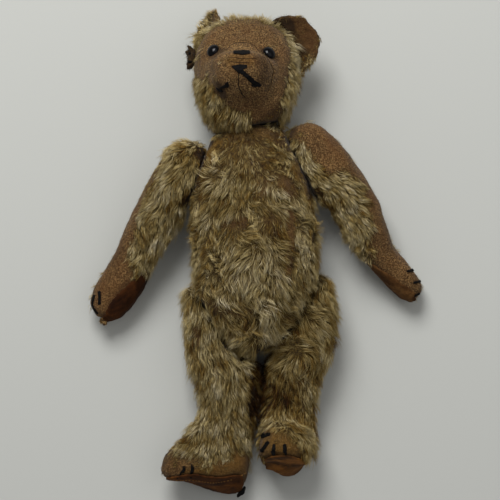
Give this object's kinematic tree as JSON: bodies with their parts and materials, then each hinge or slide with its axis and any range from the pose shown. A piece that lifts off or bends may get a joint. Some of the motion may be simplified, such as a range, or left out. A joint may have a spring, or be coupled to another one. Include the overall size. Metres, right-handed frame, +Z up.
{
  "type": "jointed teddy bear",
  "caption": "Old jointed mohair teddy bear, worn threadbare, with turning head, arms and legs, lying on its back.",
  "frame": {"origin": "middle of the bear's outline on the surface that it lies on", "axes": "+Y towards the crown of the head, +X towards the bear's left, +Z up out of its front"},
  "size_m": [0.2406, 0.3552, 0.0982],
  "materials": {
    "mohair": "worn mohair pile over a woven cotton backing, matted and bald in patches",
    "ear_mohair": "bald woven backing with short matted pile at the edges",
    "felt": "worn brown wool felt",
    "thread": "matt black cotton thread",
    "button": "glossy black boot button",
    "wood_wool": "fine packed wood shavings",
    "fibreboard": "pressed fibreboard",
    "steel": "plain steel wire and washers"
  },
  "bodies": {
    "body": {"body_cover": "mohair", "body_stuffing": "wood_wool", "neck_disc_body": "fibreboard", "neck_washer_body": "steel", "neck_cotter_pin": "steel", "shoulder_right_disc_body": "fibreboard", "shoulder_right_washer_body": "steel", "shoulder_right_cotter_pin": "steel", "shoulder_left_disc_body": "fibreboard", "shoulder_left_washer_body": "steel", "shoulder_left_cotter_pin": "steel", "hip_right_disc_body": "fibreboard", "hip_right_washer_body": "steel", "hip_right_cotter_pin": "steel", "hip_left_disc_body": "fibreboard", "hip_left_washer_body": "steel", "hip_left_cotter_pin": "steel"},
    "head": {"head_cover": "mohair", "head_stuffing": "wood_wool", "neck_disc_limb": "fibreboard", "neck_washer_limb": "steel", "ear_left": "ear_mohair", "ear_right": "ear_mohair", "eye_left": "button", "eye_right": "button", "nose_bar_stitches": "thread", "nose_foot_stitches": "thread", "mouth_corner_stitch": "thread", "ear_mending_thread": "thread"},
    "arm_right": {"arm_right_cover": "mohair", "arm_right_stuffing": "wood_wool", "shoulder_right_disc_limb": "fibreboard", "shoulder_right_washer_limb": "steel", "claw_arm_right_1": "thread", "claw_arm_right_2": "thread", "pad_arm_right": "felt"},
    "arm_left": {"arm_left_cover": "mohair", "arm_left_stuffing": "wood_wool", "shoulder_left_disc_limb": "fibreboard", "shoulder_left_washer_limb": "steel", "claw_arm_left_1": "thread", "claw_arm_left_2": "thread", "claw_arm_left_3": "thread", "pad_arm_left": "felt"},
    "leg_right": {"leg_right_cover": "mohair", "leg_right_stuffing": "wood_wool", "hip_right_disc_limb": "fibreboard", "hip_right_washer_limb": "steel", "claw_leg_right_1": "thread", "claw_leg_right_2": "thread", "pad_leg_right": "felt"},
    "leg_left": {"leg_left_cover": "mohair", "leg_left_stuffing": "wood_wool", "hip_left_disc_limb": "fibreboard", "hip_left_washer_limb": "steel", "claw_leg_left_1": "thread", "claw_leg_left_2": "thread", "claw_leg_left_3": "thread", "claw_leg_left_4": "thread", "pad_leg_left": "felt"}
  },
  "joints": [
    {"name": "neck", "type": "hinge", "parent": "body", "child": "head", "pos_m": [-0.00348, 0.0915, 0.035], "axis": [-0.1908, 0.9816, 0], "continuous": true},
    {"name": "shoulder_right", "type": "hinge", "parent": "body", "child": "arm_right", "pos_m": [-0.04028, 0.0605, 0.037], "axis": [-0.9397, 0.342, 0], "range_deg": [-105, 135]},
    {"name": "shoulder_left", "type": "hinge", "parent": "body", "child": "arm_left", "pos_m": [0.03082, 0.0675, 0.037], "axis": [-0.9063, -0.4226, 0], "range_deg": [-105, 135]},
    {"name": "hip_right", "type": "hinge", "parent": "body", "child": "leg_right", "pos_m": [-0.03478, -0.0441, 0.032], "axis": [-0.8829, -0.4695, 0], "range_deg": [-120, 150]},
    {"name": "hip_left", "type": "hinge", "parent": "body", "child": "leg_left", "pos_m": [0.03172, -0.0433, 0.032], "axis": [-0.8829, 0.4695, 0], "range_deg": [-120, 150]}
  ]
}
